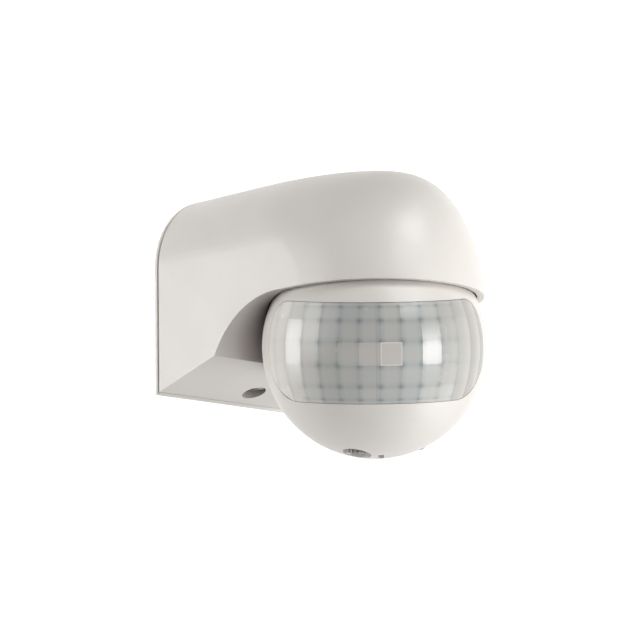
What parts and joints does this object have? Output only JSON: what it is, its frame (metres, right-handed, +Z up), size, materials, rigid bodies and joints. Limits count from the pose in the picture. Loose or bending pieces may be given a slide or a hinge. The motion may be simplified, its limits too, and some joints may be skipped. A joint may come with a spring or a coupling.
{
  "type": "motion sensor",
  "caption": "Wall mounted motion sensor: a hooded arm with a scooped underside holds a ball head with a wide faceted lens that turns and tilts.",
  "frame": {"origin": "centre of the plate's back face, which lies on the wall", "axes": "+Z up, +Y into the wall, so the sensor stands out along -Y; +X to the right seen from in front"},
  "size_m": [0.07, 0.0983, 0.09],
  "materials": {
    "white_plastic": "satin moulded, off-white",
    "lens_plastic": "translucent moulded polyethylene",
    "grommet_rubber": "matt",
    "terminal_plastic": "matt",
    "clamp_brass": "plated",
    "plated_screw": "zinc plated",
    "circuit_board": "solder resist",
    "relay_case": "satin",
    "capacitor_case": "satin",
    "capacitor_sleeve": "shrink sleeve",
    "fuse_glass": "clear tube",
    "inner_plastic": "natural, matt",
    "spring_steel": "bright",
    "socket_plastic": "natural nylon",
    "chip_plastic": "matt",
    "sensor_can": "plated can",
    "sensor_filter": "coated silicon",
    "photocell_body": "coated ceramic",
    "led_body": "tinted epoxy",
    "adjuster_case": "satin",
    "knob_plastic": "satin",
    "lead_sleeve": "sleeved"
  },
  "bodies": {
    "base": {"base_plate": "white_plastic", "cable_grommet": "grommet_rubber", "terminal_block": "terminal_plastic", "terminal_clamps": "clamp_brass", "terminal_screws": "plated_screw", "hood_cover": "white_plastic", "cover_screw": "plated_screw", "power_board": "circuit_board", "relay": "relay_case", "mains_capacitor": "capacitor_case", "smoothing_capacitor": "capacitor_sleeve", "fuse": "fuse_glass", "swivel_bracket": "inner_plastic", "bracket_screws": "plated_screw", "arm_lead": "lead_sleeve"},
    "swivel": {"clamp_cup": "inner_plastic", "stop_washer": "inner_plastic", "spring_washer": "spring_steel", "stem_nut": "inner_plastic"},
    "head": {"front_shell": "white_plastic", "rear_shell": "white_plastic", "shell_screws": "plated_screw", "fresnel_lens": "lens_plastic", "lens_retainer": "inner_plastic", "board_carrier": "inner_plastic", "sensor_board": "circuit_board", "lead_socket": "socket_plastic", "control_chip": "chip_plastic", "pir_can": "sensor_can", "pir_window": "sensor_filter", "photocell": "photocell_body", "indicator_led": "led_body", "adjuster_board": "circuit_board", "adjuster_bodies": "adjuster_case", "bottom_screw": "plated_screw", "head_lead": "lead_sleeve"},
    "time_knob": {"time_knob": "knob_plastic"},
    "light_knob": {"light_knob": "knob_plastic"},
    "range_knob": {"range_knob": "knob_plastic"}
  },
  "joints": [
    {"name": "head_pan", "type": "hinge", "parent": "base", "child": "swivel", "pos_m": [0, -0.0633, -0.022], "axis": [0, 0, 1], "range_deg": [-46, 134]},
    {"name": "head_tilt", "type": "hinge", "parent": "swivel", "child": "head", "pos_m": [0, -0.0633, -0.022], "axis": [0.7193, -0.6947, 0], "range_deg": [-14, 16]},
    {"name": "time_setting", "type": "hinge", "parent": "head", "child": "time_knob", "pos_m": [-0.00712, -0.06189, -0.05369], "axis": [0.1681, 0.174, -0.9703], "range_deg": [-135, 135]},
    {"name": "light_setting", "type": "hinge", "parent": "head", "child": "light_knob", "pos_m": [0.01466, -0.06682, -0.05081], "axis": [0.1681, 0.174, -0.9703], "range_deg": [-135, 135]},
    {"name": "range_setting", "type": "hinge", "parent": "head", "child": "range_knob", "pos_m": [0.00748, -0.04563, -0.04825], "axis": [0.1681, 0.174, -0.9703], "range_deg": [-135, 135]}
  ]
}
